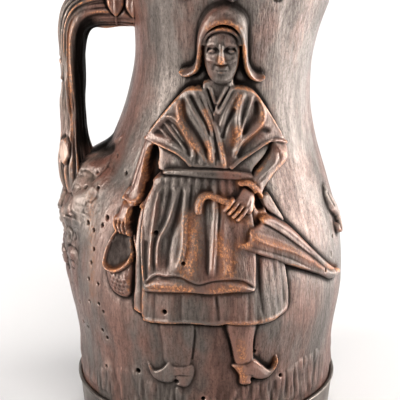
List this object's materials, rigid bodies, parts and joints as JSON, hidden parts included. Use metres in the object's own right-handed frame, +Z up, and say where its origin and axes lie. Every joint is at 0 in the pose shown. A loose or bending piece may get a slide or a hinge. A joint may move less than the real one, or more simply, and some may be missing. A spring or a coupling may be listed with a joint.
{
  "type": "wooden figural pitcher",
  "caption": "Tall hollow carved wooden pitcher with a branch-like side handle, a pouring spout, a countrywoman in relief and a metal band round the foot.",
  "frame": {"origin": "centre of the foot's flat underside, on the surface that the pitcher stands on", "axes": "+Z up; the carved figure faces -Y; the spout points to +X and the handle stands at -X"},
  "size_m": [0.1884, 0.1801, 0.307],
  "materials": {
    "carved_wood": "dark brown-black stain under wax, satin, worn to orange-brown on the high edges",
    "band_metal": "aged grey-brown sheet metal, dull, with a dark rolled upper edge"
  },
  "bodies": {
    "root": {"carved_pitcher": "carved_wood", "foot_band": "band_metal"}
  },
  "joints": []
}
